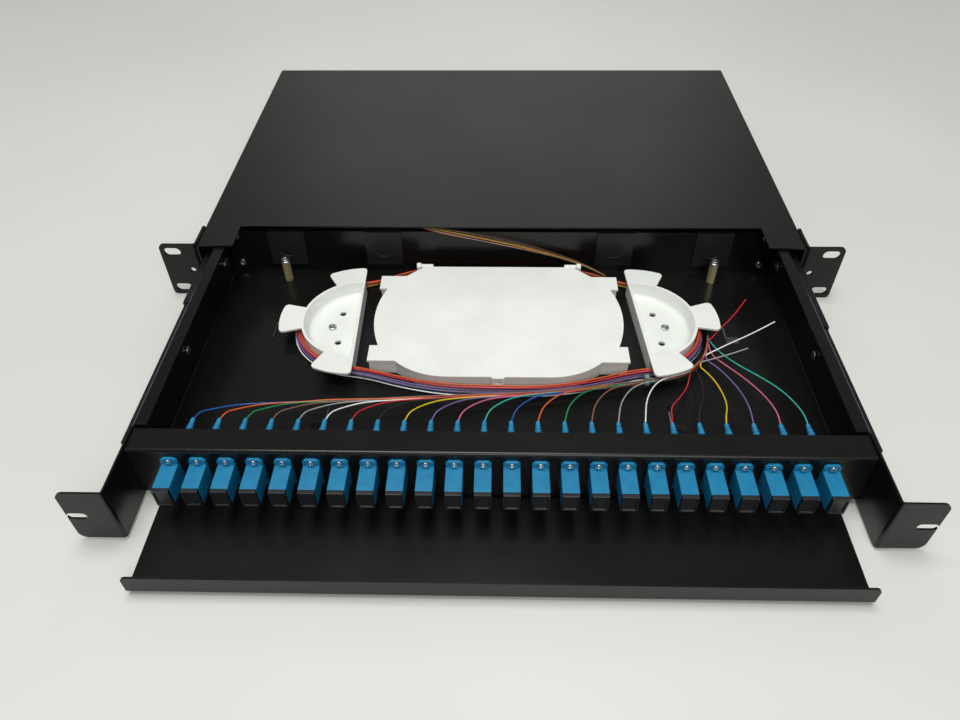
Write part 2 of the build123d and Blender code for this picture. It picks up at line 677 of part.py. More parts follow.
# Adapters: each is a sleeve through the panel with a flange that two screws hold.
panel_face = front_plane(panel_y)
mouth_face = front_plane(adapter_face)
tail_face = Plane.back.offset(adapter_tail)
with BuildPart() as sc_adapters:
    extrude(adapter_row(panel_face, ADAPTER_WIDTH, ADAPTER_FLANGE_TALL), amount=ADAPTER_FLANGE)
    chamfer(sc_adapters.edges().filter_by(Axis.Y), ADAPTER_CORNER)
    sleeves = adapter_row(panel_face, ADAPTER_WIDTH, ADAPTER_TALL)
    extrude(sleeves, amount=ADAPTER_FRONT)
    extrude(sleeves, amount=-(SHEET + ADAPTER_BACK))
    extrude(adapter_row(mouth_face, CAVITY_WIDTH, CAVITY_TALL), amount=-CAVITY_DEPTH, mode=Mode.SUBTRACT)
    extrude(adapter_row(tail_face, CAVITY_WIDTH, CAVITY_TALL), amount=-CAVITY_DEPTH, mode=Mode.SUBTRACT)
keep(sc_adapters, "sc_adapters")

# The heads of the screws that hold the adapters, two on each flange.
with BuildPart() as adapter_screws:
    with BuildSketch(front_plane(panel_y - ADAPTER_FLANGE)):
        with Locations((0, adapter_z)):
            with GridLocations(adapter_pitch, ADAPTER_SCREWS, ADAPTER_COUNT, 2):
                RegularPolygon(M2_HEAD / 2, 12)
    extrude(amount=M2_RISE)
keep(adapter_screws, "adapter_screws")

# Dust caps: a collar on the face of each adapter, a plug in its mouth and a sunk front.
cap_face = front_plane(adapter_face - CAP_COLLAR)
plug_width = CAVITY_WIDTH - 2 * FIT
plug_tall = CAVITY_TALL - 2 * FIT
with BuildPart() as dust_caps:
    extrude(adapter_row(mouth_face, ADAPTER_WIDTH - 2 * FIT, ADAPTER_TALL - 2 * FIT), amount=CAP_COLLAR)
    extrude(adapter_row(mouth_face, plug_width, plug_tall), amount=-CAP_PLUG)
    sunk = adapter_row(cap_face, ADAPTER_WIDTH - 2 * CAP_RIM, ADAPTER_TALL - 2 * CAP_RIM)
    extrude(sunk, amount=-CAP_RECESS, mode=Mode.SUBTRACT)
keep(dust_caps, "dust_caps")

# Connectors plugged into the backs of the adapters, and their tapered boots.
with BuildPart() as sc_connectors:
    plugs = adapter_row(Plane.back.offset(adapter_tail - CONNECTOR_IN), plug_width, plug_tall)
    extrude(plugs, amount=CONNECTOR_IN + CONNECTOR_OUT)
keep(sc_connectors, "sc_connectors")

boot_taper = math.degrees(math.atan2((BOOT_ROOT - BOOT_TIP) / 2, BOOT_LENGTH))
with BuildPart() as connector_boots:
    with BuildSketch(Plane.back.offset(connector_tail)):
        with Locations((0, adapter_z)):
            with GridLocations(adapter_pitch, 1, ADAPTER_COUNT, 1):
                RegularPolygon(BOOT_ROOT / 2, 8)
    extrude(amount=BOOT_LENGTH, taper=boot_taper)
keep(connector_boots, "connector_boots")


def tray_outline():
    """The splice tray seen from above: four corner blocks, a round waist between them on each side,
    and a front that swells out between the front blocks."""
    block_in = tray_half - TRAY_BLOCK
    waist_back = block_back - block_depth
    waist_front = block_front + block_depth
    waist = tray_half - TRAY_WAIST
    front_half = tray_half - TRAY_SWELL
    with BuildSketch() as outline:
        with BuildLine():
            Polyline(
                (0, tray_back),
                (tray_back_half, tray_back),
                (block_in, block_back),
                (tray_half, block_back),
                (tray_half, waist_back),
                (waist, waist_back),
            )
            ThreePointArc(
                (waist, waist_back),
                (tray_half, (waist_back + waist_front) / 2),
                (waist, waist_front),
            )
            Polyline(
                (waist, waist_front),
                (tray_half, waist_front),
                (tray_half, block_front),
                (block_in, block_front),
            )
            TangentArc((front_half, tray_front), (block_in, block_front),
                       tangent=(1, 0), tangent_from_first=True)
            Line((front_half, tray_front), (0, tray_front))
            mirror(about=Plane.YZ)
        make_face()
    return outline.sketch


# Splice tray: a moulded dish with ports in its corner blocks, hinge lugs behind and a catch in front.
outline = tray_outline()
lid_low = tray_top - TRAY_COVER
rim_top = lid_low - LID_GAP
hinge_z = floor_top + HINGE_RISE
tray_front_face = tray_front + TRAY_INSET
tray_back_face = tray_back - TRAY_INSET
latch_low = tray_top - LATCH_DROP
nub_z = (latch_low + LATCH_BAR + lid_low) / 2
with BuildPart() as splice_tray_base:
    with BuildSketch(Plane.XY.offset(floor_top)):
        offset(outline, amount=-TRAY_INSET, kind=Kind.INTERSECTION)
    extrude(amount=rim_top - floor_top)
    with BuildSketch(Plane.XY.offset(floor_top + TRAY_WALL)):
        offset(outline, amount=-(TRAY_INSET + TRAY_WALL), kind=Kind.INTERSECTION)
    extrude(amount=TRAY_HEIGHT, mode=Mode.SUBTRACT)
    port_low = floor_top + 2 * TRAY_WALL
    port_high = rim_top - TRAY_WALL
    for y in (block_back - block_depth / 2, block_front + block_depth / 2):
        with Locations((0, y, (port_low + port_high) / 2)):
            Box(2 * tray_half, block_depth - 2 * TRAY_PORT_SIDE, port_high - port_low, mode=Mode.SUBTRACT)
    # A foot behind the back wall carries each hinge lug.
    foot_in = tray_back_half - 2 * HINGE_LUG
    for side in (-1, 1):
        with Locations((side * (foot_in + hinge_x + HINGE_LUG) / 2, (tray_back_face - TRAY_WALL + hinge_y) / 2,
                        floor_top + TRAY_HEIGHT / 4)):
            Box(hinge_x + HINGE_LUG - foot_in, hinge_y - tray_back_face + TRAY_WALL, TRAY_HEIGHT / 2)
        with BuildSketch(side_plane(side, hinge_x)):
            with Locations((side * hinge_y, hinge_z)):
                Circle(HINGE_RING)
            with Locations((side * hinge_y, (floor_top + hinge_z) / 2)):
                Rectangle(2 * HINGE_RING, hinge_z - floor_top)
        extrude(amount=HINGE_LUG)
        with BuildSketch(side_plane(side, hinge_x)):
            with Locations((side * hinge_y, hinge_z)):
                Circle(HINGE_PIN + HINGE_RUN)
        extrude(amount=HINGE_LUG, mode=Mode.SUBTRACT)
    with Locations((0, tray_front_face - LATCH_NUB / 2, nub_z)):
        Box(LATCH_WIDTH / 3, LATCH_NUB, LATCH_BAR)
    with BuildSketch(Plane.XY.offset(floor_top)):
        with Locations(*[(seat.origin.X, seat.origin.Y) for seat in tray_seats]):
            Circle(m3_hole)
    extrude(amount=TRAY_WALL, mode=Mode.SUBTRACT)
keep(splice_tray_base, "splice_tray_base")
screws("splice_tray_screws", tray_seats, M3_HEAD, M3_RISE, M3_SHANK, TRAY_WALL + SHEET)

# Splice tray cover: a flat lid with a pinned knuckle at each end of its back and a latch loop in front.
knuckle_in = tray_back_half - 2 * HINGE_LUG
knuckle_out = hinge_x - HINGE_RUN
with BuildPart() as splice_tray_cover:
    with BuildSketch(Plane.XY.offset(lid_low)):
        add(outline)
    extrude(amount=TRAY_COVER)
    for side in (-1, 1):
        with BuildSketch(side_plane(side, knuckle_in)):
            with Locations((side * hinge_y, hinge_z)):
                Circle(HINGE_KNUCKLE)
            with Locations((side * (tray_back + hinge_y) / 2, lid_low + TRAY_COVER / 2)):
                Rectangle(hinge_y - tray_back, TRAY_COVER)
        extrude(amount=knuckle_out - knuckle_in)
        with BuildSketch(side_plane(side, knuckle_out)):
            with Locations((side * hinge_y, hinge_z)):
                Circle(HINGE_PIN)
        extrude(amount=HINGE_LUG + HINGE_RUN)
    with Locations((0, tray_front - TRAY_COVER / 2, (latch_low + tray_top) / 2)):
        Box(LATCH_WIDTH, TRAY_COVER, LATCH_DROP)
    with Locations((0, tray_front - TRAY_COVER / 2, (latch_low + LATCH_BAR + lid_low) / 2)):
        Box(LATCH_WIDTH / 2, TRAY_COVER, lid_low - latch_low - LATCH_BAR, mode=Mode.SUBTRACT)
keep(splice_tray_cover, "splice_tray_cover")

# Splice holder: a comb of ribs on a pad, which grips the splice sleeves.
holder_low = floor_top + TRAY_WALL
with BuildPart() as splice_holder:
    with Locations((0, spool_y, holder_low + SPLICE_RIB / 2)):
        Box(SPLICE_LENGTH, SPLICE_COUNT * SPLICE_PITCH + SPLICE_RIB, SPLICE_RIB)
    with Locations((0, spool_y, holder_low + SPLICE_RISE / 2)):
        with GridLocations(1, SPLICE_PITCH, 1, SPLICE_COUNT + 1):
            Box(SPLICE_LENGTH, SPLICE_RIB, SPLICE_RISE)
keep(splice_holder, "splice_holder")


def half_disc(radius, inset):
    """Half of a disc whose straight side is moved in by inset."""
    edge = math.sqrt(radius**2 - inset**2)
    with BuildSketch() as half:
        with BuildLine():
            ThreePointArc((inset, edge), (radius, 0), (inset, -edge))
            Line((inset, -edge), (inset, edge))
        make_face()
    return half.sketch


def spool_tab(start, end):
    """One of the tabs that reach out over the wound fibre."""
    with BuildSketch() as tab:
        with BuildLine():
            rim = CenterArc((0, 0), spool_rim - SPOOL_WALL / 2, start, end - start)
            reach = CenterArc((0, 0), spool_rim + SPOOL_TAB, start, end - start)
            Line(rim @ 0, reach @ 0)
            Line(rim @ 1, reach @ 1)
        make_face()
        fillet(tab.vertices().sort_by_distance((0, 0))[2:], SPOOL_TAB_CORNER)
    return tab.sketch


def fibre_spool(side, name):
    """A half-moon dish that the fibre is wound round, with tabs at the rim and two holes by its screw."""
    foot = spool_plane[side]
    dish = foot.offset(SPOOL_HEIGHT)
    with BuildPart() as spool:
        extrude(foot * half_disc(spool_rim, 0), amount=SPOOL_HEIGHT)
        bowl = dish * half_disc(spool_rim - SPOOL_WALL, SPOOL_WALL)
        extrude(bowl, amount=-(SPOOL_HEIGHT - SPOOL_FLOOR), taper=SPOOL_DRAFT, mode=Mode.SUBTRACT)
        for start, end in SPOOL_TABS:
            extrude(dish * spool_tab(start, end), amount=-SPOOL_TAB_SHEET)
        spread = SPOOL_HOLE_SPREAD * spool_rim / 2
        holes = [(SPOOL_HOLE_OUT * spool_rim, -spread), (SPOOL_HOLE_OUT * spool_rim, spread)]
        with BuildSketch(foot):
            with Locations(*holes):
                Circle(SPOOL_HOLE / 2)
            with Locations((SPOOL_SCREW_OUT * spool_rim, 0)):
                Circle(m3_hole)
        extrude(amount=SPOOL_HEIGHT, mode=Mode.SUBTRACT)
    keep(spool, name)


fibre_spool(-1, "fibre_spool_left")
fibre_spool(1, "fibre_spool_right")
screws("spool_screws", spool_seats, M3_HEAD, M3_RISE, M3_SHANK, SPOOL_FLOOR + SHEET)

# Anchor posts: hexagonal standoffs with a washer and a screw on top.
post_x = drawer_out - POST_SIDE
post_y = back_plate_y - POST_BACK
posts = [(-post_x, post_y), (post_x, post_y)]
post_top = floor_top + POST_HEIGHT
with BuildPart() as standoffs:
    with BuildSketch(Plane.XY.offset(floor_top)):
        with Locations(*posts):
            RegularPolygon(POST_FLATS / 2, 6, major_radius=False)
            Circle(m3_hole, mode=Mode.SUBTRACT)
    extrude(amount=POST_HEIGHT)
keep(standoffs, "standoffs")
with BuildPart() as standoff_screws:
    with BuildSketch(Plane.XY.offset(post_top)):
        with Locations(*posts):
            Circle(POST_WASHER / 2)
    extrude(amount=POST_WASHER_SHEET)
    with BuildSketch(Plane.XY.offset(post_top + POST_WASHER_SHEET)):
        with Locations(*posts):
            Circle(M3_HEAD / 2)
    extrude(amount=M3_RISE)
    with BuildSketch(Plane.XY.offset(post_top)):
        with Locations(*posts):
            Circle(M3_SHANK / 2)
    extrude(amount=-POST_HEIGHT / 2)
keep(standoff_screws, "standoff_screws")


def bend_radii(route):
    """For each corner of a route, the largest arc that its two runs leave room for."""
    radii = []
    for before, here, after in zip(route, route[1:], route[2:]):
        first = Vector(*here) - Vector(*before)
        second = Vector(*after) - Vector(*here)
        half_turn = math.radians(first.get_angle(second)) / 2
        radii.append(0.45 * min(first.length, second.length) / math.tan(half_turn))
    return radii


def cords(name, routes, diameter):
    """Round cords, each swept along its own route."""
    with BuildPart() as group:
        for route in routes:
            radii = bend_radii(route)
            with BuildLine() as path:
                line = FilletPolyline(*route, radius=radii)
            with BuildSketch(Plane(line @ 0, z_dir=line % 0)):
                Circle(diameter / 2)
            sweep(path=path.line)
            print(name, "length", round(line.length, 1), "least radius", round(min(radii), 1))
    keep(group, name)


def around(side, radius, angle, z):
    """A corner of a route round a spool, on the tangents of a circle about the spool's middle."""
    reach = radius / math.cos(math.radians(22.5))
    x = side * (spool_x + reach * math.cos(math.radians(angle)))
    return (x, spool_y + reach * math.sin(math.radians(angle)), z)


# Fibre loop: slack fibre wound round both spools, in front of the splice tray and behind it.
loop_z = floor_top + LOOP_LIFT + LOOP / 2
turns = (-67.5, -22.5, 22.5, 67.5)
loop_front_right = laid([(-6, -103.6, loop_z), (30, -104, loop_z), (62, -97.5, loop_z), (88, -88.6, loop_z)])
loop_right = [around(1, wind, turn, loop_z) for turn in turns]
loop_back = laid([
    (87, 6.5, loop_z), (65, 21, loop_z), (30, 23.6, loop_z), (-8, 23.9, loop_z),
    (-42, 23.2, loop_z), (-66, 20, loop_z), (-89, 6, loop_z),
])
loop_left = [around(-1, wind, turn, loop_z) for turn in reversed(turns)]
loop_front_left = laid([
    (-86, -88.8, loop_z), (-62, -97, loop_z), (-33, -103, loop_z), (-7, -104, loop_z + 0.2),
])
loop_route = loop_front_right + loop_right + loop_back + loop_left + loop_front_left
cords("fibre_loop", [loop_route], LOOP)

# Pigtail bundle: the pigtails from the left and the middle run together across the drawer's front and
# round the outside of the right spool.
trunk_route = laid([
    (-140.0, -121.2, 13.0), (-104.0, -118.2, 11.8), (-64.0, -116.0, 11.0), (-22.0, -112.6, 10.2),
    (16.0, -109.8, 9.6), (46.0, -105.6, 9.2), (74.0, -99.8, 8.8), (100.0, -95.0, 8.4),
    (119.0, -89.4, 8.2), (131.6, -79.4, 8.2), (139.4, -66.0, 8.0), (142.4, -52.0, 7.6),
])
cords("pigtail_bundle", [trunk_route], TRUNK)


def trunk_at(x):
    """The middle of the bundle at a distance x from the middle of the box."""
    for near, far in zip(trunk_route, trunk_route[1:]):
        if x <= far[0]:
            break
    share = (x - near[0]) / (far[0] - near[0])
    return [n + share * (f - n) for n, f in zip(near, far)]


# Pigtails: one from each boot. All but the last six turn right and come down on the bundle.
beside = (TRUNK + PIGTAIL) / 2 + CORD_GAP
first_x = -(ADAPTER_COUNT - 1) / 2 * adapter_pitch
reach_left = 44.0
reach_right = 33.0
last_six = (
    ((103.0, -130.0, 22.0), (111.6, -117.0, 16.5), (118.4, -105.0, 12.4),
     (122.0, -95.0, 10.8), (123.9, -87.8, 9.8)),
    ((120.4, -130.0, 22.0), (126.0, -116.6, 16.5), (128.4, -102.0, 12.6),
     (128.6, -92.0, 10.8), (127.0, -85.3, 9.8)),
    ((136.4, -130.0, 22.0), (138.6, -115.5, 16.5), (137.4, -100.0, 12.8),
     (133.6, -88.5, 10.8), (130.2, -82.8, 9.8)),
    ((149.4, -129.0, 22.0), (150.0, -113.0, 16.5), (147.0, -97.0, 12.6),
     (141.4, -83.6, 10.6), (135.5, -76.3, 9.75)),
    ((164.0, -129.0, 22.0), (162.0, -112.0, 16.5), (156.0, -95.6, 12.4),
     (147.0, -81.0, 10.2), (139.0, -70.3, 9.65)),
    ((178.6, -129.0, 22.0), (175.6, -111.0, 16.5), (166.6, -94.0, 12.0),
     (153.6, -79.4, 9.8), (142.1, -62.2, 9.4)),
)
pigtail_routes = []
for n in range(ADAPTER_COUNT):
    x = first_x + n * adapter_pitch
    start = (x, boot_tip_y + CORD_GAP, adapter_z)
    lean = (x + 1.0, boot_tip_y + 5.5, adapter_z - 0.6)
    if n < ADAPTER_COUNT - len(last_six):
        reach = reach_left + (reach_right - reach_left) * n / ADAPTER_COUNT
        end = trunk_at(x + reach)
        down = end[2] + beside * 0.7
        front = end[1] - beside * 0.75
        route = [
            start,
            lean,
            (x + 0.14 * reach, front + 0.55 * (boot_tip_y - front), down + 0.66 * (adapter_z - down)),
            (x + 0.45 * reach, front + 0.16 * (boot_tip_y - front), down + 0.2 * (adapter_z - down)),
            (x + reach, front, down),
        ]
    else:
        route = [start, lean] + laid(last_six[n - ADAPTER_COUNT], ((9.0, 9.0), (25.0, adapter_z)))
    pigtail_routes.append(route)
for n, colour in enumerate(COLOURS):
    cords(f"pigtail_{colour}", [pigtail_routes[n], pigtail_routes[n + len(COLOURS)]], PIGTAIL)

# Rear fibres: they leave the loop behind the tray, climb along the back plate and pass over its top.
rear_route = laid([
    (79.0, 12.4, 9.2), (66.0, 19.4, 12.8), (47.0, 22.4, 18.6), (24.0, 23.6, 25.0), (-2.0, 24.2, 31.0),
    (-25.0, 24.6, 35.8), (-43.0, 25.0, 39.2), (-57.0, 28.6, 41.0), (-70.0, 36.0, 41.2),
], ((3.2, floor_top), (37.5, back_top), (42.8, CASE_HEIGHT - SHEET)))
cords("rear_fibres", [rear_route], REAR_BUNDLE)

# Loose ends: three cut fibres that stand away from the bundle beside the right spool.
loose_ends = {
    "red": [(141.6, -58.4, 9.5), (150.6, -48.6, 12.6), (161.0, -39.6, 15.6), (171.7, -24.9, 18.2)],
    "white": [(136.4, -72.9, 10.2), (151.0, -66.6, 14.2), (169.0, -57.8, 15.8), (186.0, -47.9, 18.0)],
    "brown": [(132.9, -79.3, 10.3), (143.0, -77.4, 12.4), (153.4, -74.4, 13.6), (163.7, -70.4, 14.4)],
}
for colour, route in loose_ends.items():
    cords(f"loose_end_{colour}", [laid(route)], PIGTAIL)

# Bundle tie: a band round the bundle with its head on top.
tie_at = [near + TIE_PLACE * (far - near) for near, far in zip(trunk_route[6], trunk_route[7])]
tie_along = Vector(*trunk_route[7]) - Vector(*trunk_route[6])
tie_plane = Plane(origin=tie_at, x_dir=(0, 0, 1), z_dir=tie_along.normalized()).offset(-TIE_WIDTH / 2)
tie_bore = TRUNK / 2 + CORD_GAP
with BuildPart() as bundle_tie:
    with BuildSketch(tie_plane):
        Circle(tie_bore + TIE_SHEET)
        with Locations((tie_bore + TIE_SHEET + TIE_HEAD / 4, 0)):
            Rectangle(TIE_HEAD, TIE_HEAD)
        Circle(tie_bore, mode=Mode.SUBTRACT)
    extrude(amount=TIE_WIDTH)
keep(bundle_tie, "bundle_tie")
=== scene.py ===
import bpy
import math
from mathutils import Matrix, Vector


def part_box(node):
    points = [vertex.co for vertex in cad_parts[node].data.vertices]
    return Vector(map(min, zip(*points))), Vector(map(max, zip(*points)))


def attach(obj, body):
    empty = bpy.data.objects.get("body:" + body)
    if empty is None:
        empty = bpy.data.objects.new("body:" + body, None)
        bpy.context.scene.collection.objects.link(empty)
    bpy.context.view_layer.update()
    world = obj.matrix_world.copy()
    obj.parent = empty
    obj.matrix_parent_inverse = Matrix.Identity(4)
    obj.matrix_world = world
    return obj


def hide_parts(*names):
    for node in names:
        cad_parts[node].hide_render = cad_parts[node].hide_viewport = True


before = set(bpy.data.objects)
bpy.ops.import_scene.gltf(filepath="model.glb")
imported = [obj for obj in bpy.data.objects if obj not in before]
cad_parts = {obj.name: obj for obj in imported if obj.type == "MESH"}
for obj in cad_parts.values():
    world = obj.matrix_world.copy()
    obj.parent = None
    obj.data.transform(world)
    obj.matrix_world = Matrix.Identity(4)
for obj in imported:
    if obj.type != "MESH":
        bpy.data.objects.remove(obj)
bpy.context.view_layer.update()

# Studio: a pale matt table under a wide window of soft light.
# The table is a sheet of off-white laminate that curves up behind the box, so no edge of it shows.
# It is lit from above and a little behind, which greys the black lid as the room does in the photograph.
FLOOR_WHITE = "#dcdbd7"
FLOOR_SIZE = 6.0
FLOOR_RISE = 1.6
FLOOR_SWEEP = 1.2
SWEEP_STEPS = 10


def linear(colour):
    """An sRGB hex colour as the linear values that a shader takes."""
    channels = [int(colour[i:i + 2], 16) / 255 for i in (1, 3, 5)]
    return [c / 12.92 if c <= 0.04045 else ((c + 0.055) / 1.055) ** 2.4 for c in channels] + [1.0]


def new_material(name, colour, roughness, metallic=0.0):
    """A material with a plain shader; returns the material, its nodes' tree and the shader."""
    material = bpy.data.materials.new(name)
    material.use_nodes = True
    tree = material.node_tree
    shader = tree.nodes["Principled BSDF"]
    shader.inputs["Base Color"].default_value = linear(colour)
    shader.inputs["Roughness"].default_value = roughness
    shader.inputs["Metallic"].default_value = metallic
    return material, tree, shader


def add_node(tree, kind, settings=None, links=None):
    """A node of a kind, with its settings by name and its inputs by name: a value, or another node's socket."""
    node = tree.nodes.new(kind)
    for key, value in (settings or {}).items():
        setattr(node, key, value)
    for key, value in (links or {}).items():
        if isinstance(value, bpy.types.NodeSocket):
            tree.links.new(value, node.inputs[key])
        else:
            node.inputs[key].default_value = value
    return node


def pattern(tree, size, detail):
    """A cloudy pattern fixed to the piece, with spots of a size in millimetres; returns its value."""
    coords = add_node(tree, "ShaderNodeTexCoord")
    links = {"Vector": coords.outputs["Object"], "Scale": 1000 / size, "Detail": detail}
    return add_node(tree, "ShaderNodeTexNoise", {}, links).outputs["Fac"]


def tint(tree, shader, value, *stops):
    """Colour a shader by a value, through two stops that are each a value and its colour."""
    ramp = add_node(tree, "ShaderNodeValToRGB", {}, {"Fac": value})
    for element, (place, colour) in zip(ramp.color_ramp.elements, stops):
        element.position = place
        element.color = linear(colour)
    tree.links.new(ramp.outputs["Color"], shader.inputs["Base Color"])


bpy.ops.object.select_all(action="DESELECT")
bpy.ops.mesh.primitive_plane_add(size=FLOOR_SIZE, location=(0, 0, 0))
floor = bpy.context.object
floor.name = "table"
bpy.ops.object.mode_set(mode="EDIT")
bpy.ops.mesh.select_mode(type="EDGE")
bpy.ops.mesh.select_all(action="DESELECT")
bpy.ops.object.mode_set(mode="OBJECT")
for edge in floor.data.edges:
    ends = [floor.data.vertices[v].co.y for v in edge.vertices]
    edge.select = min(ends) > FLOOR_SIZE / 2 - 0.01
bpy.ops.object.mode_set(mode="EDIT")
bpy.ops.mesh.extrude_region_move(TRANSFORM_OT_translate={"value": (0, 0, FLOOR_RISE)})
bpy.ops.object.mode_set(mode="OBJECT")
sweep = floor.modifiers.new("sweep", "BEVEL")
sweep.width = FLOOR_SWEEP
sweep.segments = SWEEP_STEPS
bpy.ops.object.modifier_apply(modifier="sweep")
bpy.ops.object.shade_smooth()
# Matt laminate: wide pale clouds keep the white from looking flat.
laminate, tree, shader = new_material("table_laminate", FLOOR_WHITE, 0.55)
tint(tree, shader, pattern(tree, 330.0, 3.0), (0.35, "#d9d8d4"), (0.7, "#dfdeda"))
floor.data.materials.append(laminate)

world = bpy.data.worlds.new("room")
bpy.context.scene.world = world
world.use_nodes = True
world.node_tree.nodes["Background"].inputs["Color"].default_value = linear("#f2f4f6")
world.node_tree.nodes["Background"].inputs["Strength"].default_value = 0.22

LAMP_TINT = "#fbfefa"  # the photograph's white is a little green
LAMPS = (  # name, place, what it faces, width in metres and power in watts
    ("ceiling", (-0.2, -0.1, 1.9), (0.0, -0.05, 0.0), 1.0, 24.5),
    ("wall", (0.0, 3.2, 1.0), (0.0, 1.2, 0.1), 2.0, 31.0),
    ("front", (0.25, -1.3, 1.2), (0.0, -0.05, 0.0), 0.9, 10.0),
)
for name, place, aim, size, power in LAMPS:
    bpy.ops.object.light_add(type="AREA", location=place)
    lamp = bpy.context.object
    lamp.name = name
    lamp.data.size = size
    lamp.data.energy = power
    lamp.data.color = linear(LAMP_TINT)[:3]
    lamp.rotation_euler = (Vector(aim) - Vector(place)).to_track_quat("-Z", "Y").to_euler()

# Camera: a phone held over the front of the drawer, looking back and down at the whole box.
# Its place and lens were solved from the rack ears, the case and the drawer.
CAMERA_PLACE = (-0.00072, -0.43903, 0.36031)
CAMERA_PITCH = 44.196
CAMERA_YAW = 1.776
CAMERA_ROLL = -0.762
CAMERA_LENS = 28.68
SENSOR_WIDTH = 36.0
bpy.ops.object.camera_add(location=CAMERA_PLACE)
camera = bpy.context.object
camera.name = "photo_camera"
camera.data.sensor_width = SENSOR_WIDTH
camera.data.lens = CAMERA_LENS
camera.data.clip_start = 0.01
turn = Matrix.Rotation(math.radians(CAMERA_YAW), 4, "Z")
turn = turn @ Matrix.Rotation(math.radians(90 - CAMERA_PITCH), 4, "X")
turn = turn @ Matrix.Rotation(math.radians(CAMERA_ROLL), 4, "Z")
camera.rotation_euler = turn.to_euler()
bpy.context.scene.camera = camera
bpy.context.scene.view_settings.view_transform = "Standard"

# Fibres: 0.9 mm tight-buffered glass fibres with plastic coats in the twelve colours of the code.
# One leaves each boot, bends over and joins the others in a bundle that goes round the right spool.
MM = 0.001
PIGTAIL = 0.9 * MM
FIBRE_COLOURS = (
    ("blue", "#2d5db0"), ("orange", "#dd6a3c"), ("green", "#23895a"), ("brown", "#86604f"),
    ("grey", "#9b9c9b"), ("white", "#f1f1ee"), ("red", "#c8393f"), ("black", "#1b1b1d"),
    ("yellow", "#e2c534"), ("violet", "#7c66a0"), ("pink", "#d4738a"), ("aqua", "#3fb3a6"),
)
TRUNK_ROUTE = [
    (-0.1400, -0.1212, 0.0130), (-0.1040, -0.1182, 0.0118), (-0.0640, -0.1160, 0.0110),
    (-0.0220, -0.1126, 0.0102), (0.0160, -0.1098, 0.0096), (0.0460, -0.1056, 0.0092),
    (0.0740, -0.0998, 0.0088), (0.1000, -0.0950, 0.0084), (0.1190, -0.0894, 0.0082),
    (0.1316, -0.0794, 0.0082), (0.1394, -0.0660, 0.0080), (0.1424, -0.0520, 0.0076),
]
LAST_SIX = (
    ((0.1030, -0.1300, 0.0220), (0.1116, -0.1170, 0.0165), (0.1184, -0.1050, 0.0124),
     (0.1220, -0.0950, 0.0108), (0.1239, -0.0878, 0.0098)),
    ((0.1204, -0.1300, 0.0220), (0.1260, -0.1166, 0.0165), (0.1284, -0.1020, 0.0126),
     (0.1286, -0.0920, 0.0108), (0.1270, -0.0853, 0.0098)),
    ((0.1364, -0.1300, 0.0220), (0.1386, -0.1155, 0.0165), (0.1374, -0.1000, 0.0128),
     (0.1336, -0.0885, 0.0108), (0.1302, -0.0828, 0.0098)),
    ((0.1494, -0.1290, 0.0220), (0.1500, -0.1130, 0.0165), (0.1470, -0.0970, 0.0126),
     (0.1414, -0.0836, 0.0106), (0.1355, -0.0763, 0.0097)),
    ((0.1640, -0.1290, 0.0220), (0.1620, -0.1120, 0.0165), (0.1560, -0.0956, 0.0124),
     (0.1470, -0.0810, 0.0102), (0.1390, -0.0703, 0.0096)),
    ((0.1786, -0.1290, 0.0220), (0.1756, -0.1110, 0.0165), (0.1666, -0.0940, 0.0120),
     (0.1536, -0.0794, 0.0098), (0.1421, -0.0622, 0.0094)),
)
boot_low, boot_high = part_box("connector_boots")
boot_z = (boot_low.z + boot_high.z) / 2
boot_tip_y = boot_high.y + 0.25 * MM
adapter_low, adapter_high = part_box("sc_adapters")
ADAPTER_COUNT = 24
ADAPTER_WIDTH = 9.3 * MM
adapter_pitch = (adapter_high.x - adapter_low.x - ADAPTER_WIDTH) / (ADAPTER_COUNT - 1)
first_adapter = adapter_low.x + ADAPTER_WIDTH / 2

fibre_coats = {}
for name, colour in FIBRE_COLOURS:
    # Extruded nylon: a satin skin whose colour drifts a little along the fibre.
    coat, tree, shader = new_material(f"fibre_coat_{name}", colour, 0.36)
    shade = add_node(tree, "ShaderNodeHueSaturation", {}, {"Color": linear(colour), "Saturation": 1.05})
    links = {"Value": pattern(tree, 11.0, 2.0), "To Min": 0.82, "To Max": 1.16}
    drift = add_node(tree, "ShaderNodeMapRange", {}, links)
    tree.links.new(drift.outputs["Result"], shade.inputs["Value"])
    tree.links.new(shade.outputs["Color"], shader.inputs["Base Color"])
    fibre_coats[name] = coat


def fibre_curve(name, diameter):
    """An empty curve whose splines are round fibres of one diameter."""
    data = bpy.data.curves.new(name, "CURVE")
    data.dimensions = "3D"
    data.bevel_depth = diameter / 2
    data.bevel_resolution = 2
    data.resolution_u = 6
    data.use_fill_caps = True
    fibre = bpy.data.objects.new(name, data)
    bpy.context.collection.objects.link(fibre)
    return fibre


def lay_fibre(fibre, route, coat=0, closed=False):
    """Add one smooth run along a route to a curve, open or closed on itself."""
    spline = fibre.data.splines.new("NURBS")
    spline.points.add(len(route) - 1)
    for point, place in zip(spline.points, route):
        point.co = (*place, 1.0)
    spline.order_u = 3
    spline.use_endpoint_u = not closed
    spline.use_cyclic_u = closed
    spline.material_index = coat
    return spline


def lay_off(place, n, spread):
    """A place in a bundle, moved from the middle of the bundle to where its nth fibre lies."""
    angle = 2.4 * n + 9.0 * place[0]
    reach = spread * (0.35 + 0.65 * ((n * 7) % 11) / 10)
    return (place[0], place[1] + reach * math.cos(angle), place[2] + reach * math.sin(angle))


def trunk_at(x):
    """The middle of the bundle at a distance x from the middle of the box."""
    for near, far in zip(TRUNK_ROUTE, TRUNK_ROUTE[1:]):
        if near[0] <= x <= far[0]:
            share = (x - near[0]) / (far[0] - near[0])
            return [n + share * (f - n) for n, f in zip(near, far)]


